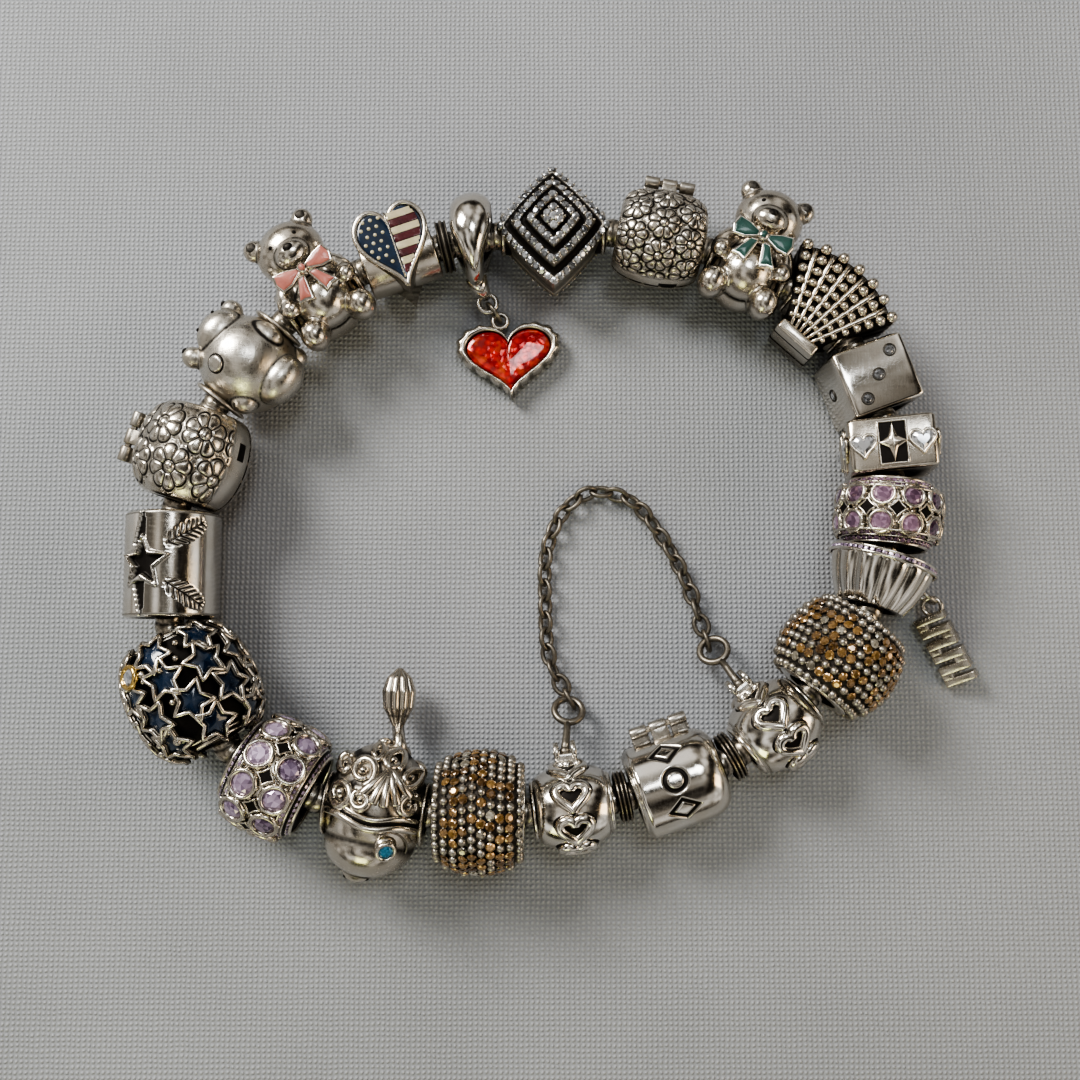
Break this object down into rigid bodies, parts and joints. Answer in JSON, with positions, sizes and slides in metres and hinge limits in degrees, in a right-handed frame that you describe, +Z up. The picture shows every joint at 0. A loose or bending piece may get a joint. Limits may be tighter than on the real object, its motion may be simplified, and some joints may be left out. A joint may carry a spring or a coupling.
{
  "type": "charm bracelet",
  "caption": "Snake-chain bracelet lying flat, threaded with cast charms, stone-set beads and hinged clips, closed by a barrel clasp with a safety chain across it.",
  "frame": {"origin": "under the middle of the bracelet, on the surface it lies on", "axes": "+X along the longest extent, the clasp near -Y; +Z up, the shortest extent"},
  "size_m": [0.086, 0.0704, 0.0126],
  "materials": {
    "silver": "polished sterling silver with blackened recesses",
    "dark_silver": "oxidised silver",
    "amber_stones": "small champagne stones set in blackened silver",
    "lilac_stones": "faceted lilac stones in silver settings",
    "clear_stones": "small clear stones in stepped silver settings",
    "red_enamel": "glossy translucent red enamel",
    "navy_enamel": "glossy enamel",
    "pink_enamel": "satin pink enamel",
    "green_enamel": "satin green enamel"
  },
  "bodies": {
    "bracelet": {"clasp_body": "silver", "clasp_pin": "dark_silver", "chain_knob": "dark_silver", "collar_left": "silver", "heart_clip_left": "silver", "heart_clip_left_eye": "dark_silver", "amber_bead_left": "amber_stones", "fish": "silver", "lilac_bead_left": "lilac_stones", "star_ball": "dark_silver", "star_barrel": "silver", "daisy_clip_left_body": "silver", "daisy_clip_left_pin": "dark_silver", "hippo": "silver", "bear_pink": "silver", "bear_pink_bow": "pink_enamel", "plaque": "silver", "plaque_enamel": "navy_enamel", "spacer": "dark_silver", "smooth_bail": "silver", "pendant_frame": "silver", "pendant_enamel": "red_enamel", "pendant_ring": "dark_silver", "diamond": "clear_stones", "daisy_clip_right_body": "silver", "daisy_clip_right_pin": "dark_silver", "bear_green": "silver", "bear_green_bow": "green_enamel", "fan": "silver", "dice": "silver", "heart_block": "silver", "lilac_bead_right": "lilac_stones", "fluted_bail": "silver", "tag": "silver", "tag_ring": "silver", "amber_bead_right": "amber_stones", "heart_clip_right": "silver", "heart_clip_right_eye": "dark_silver", "collar_right": "silver", "snake_chain": "dark_silver", "safety_chain": "dark_silver"},
    "clasp_top": {"clasp_lid": "silver"},
    "daisy_left_top": {"daisy_clip_left_lid": "silver"},
    "daisy_right_top": {"daisy_clip_right_lid": "silver"}
  },
  "joints": [
    {"name": "clasp_hinge", "type": "hinge", "parent": "bracelet", "child": "clasp_top", "pos_m": [0.0104, -0.02056, 0.00445], "axis": [-0.9427, -0.3336, 0], "range_deg": [0, 70]},
    {"name": "daisy_left_hinge", "type": "hinge", "parent": "bracelet", "child": "daisy_left_top", "pos_m": [-0.04146, 0.00774, 0.00555], "axis": [-0.3034, -0.9529, 0], "range_deg": [0, 75]},
    {"name": "daisy_right_hinge", "type": "hinge", "parent": "bracelet", "child": "daisy_right_top", "pos_m": [0.01223, 0.03393, 0.00495], "axis": [-0.9819, 0.1894, 0], "range_deg": [0, 75]}
  ]
}
